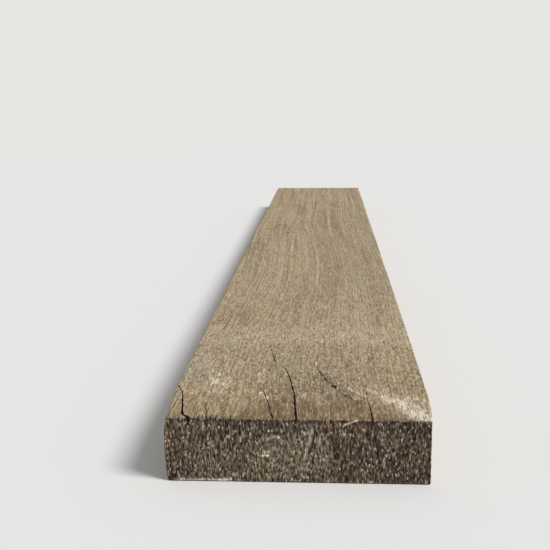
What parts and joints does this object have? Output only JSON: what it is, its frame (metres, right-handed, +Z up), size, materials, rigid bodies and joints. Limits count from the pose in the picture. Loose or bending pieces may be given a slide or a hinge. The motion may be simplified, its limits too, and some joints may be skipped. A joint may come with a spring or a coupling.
{
  "type": "treated timber board",
  "caption": "Heavy rough-sawn timber plank with one weathered end whose sides are worn back in plan and whose top has open drying checks.",
  "frame": {"origin": "centre of the underside: the centre of the bounding box across X and Y, on the face that the plank lies on", "axes": "+X across the plank's width, +Y along its length with the weathered end at -Y, +Z up through its thickness"},
  "size_m": [0.305, 2.4, 0.075],
  "materials": {
    "timber": "rough sawn and weathered, grey-brown, unfinished"
  },
  "bodies": {
    "root": {"plank": "timber"}
  },
  "joints": []
}
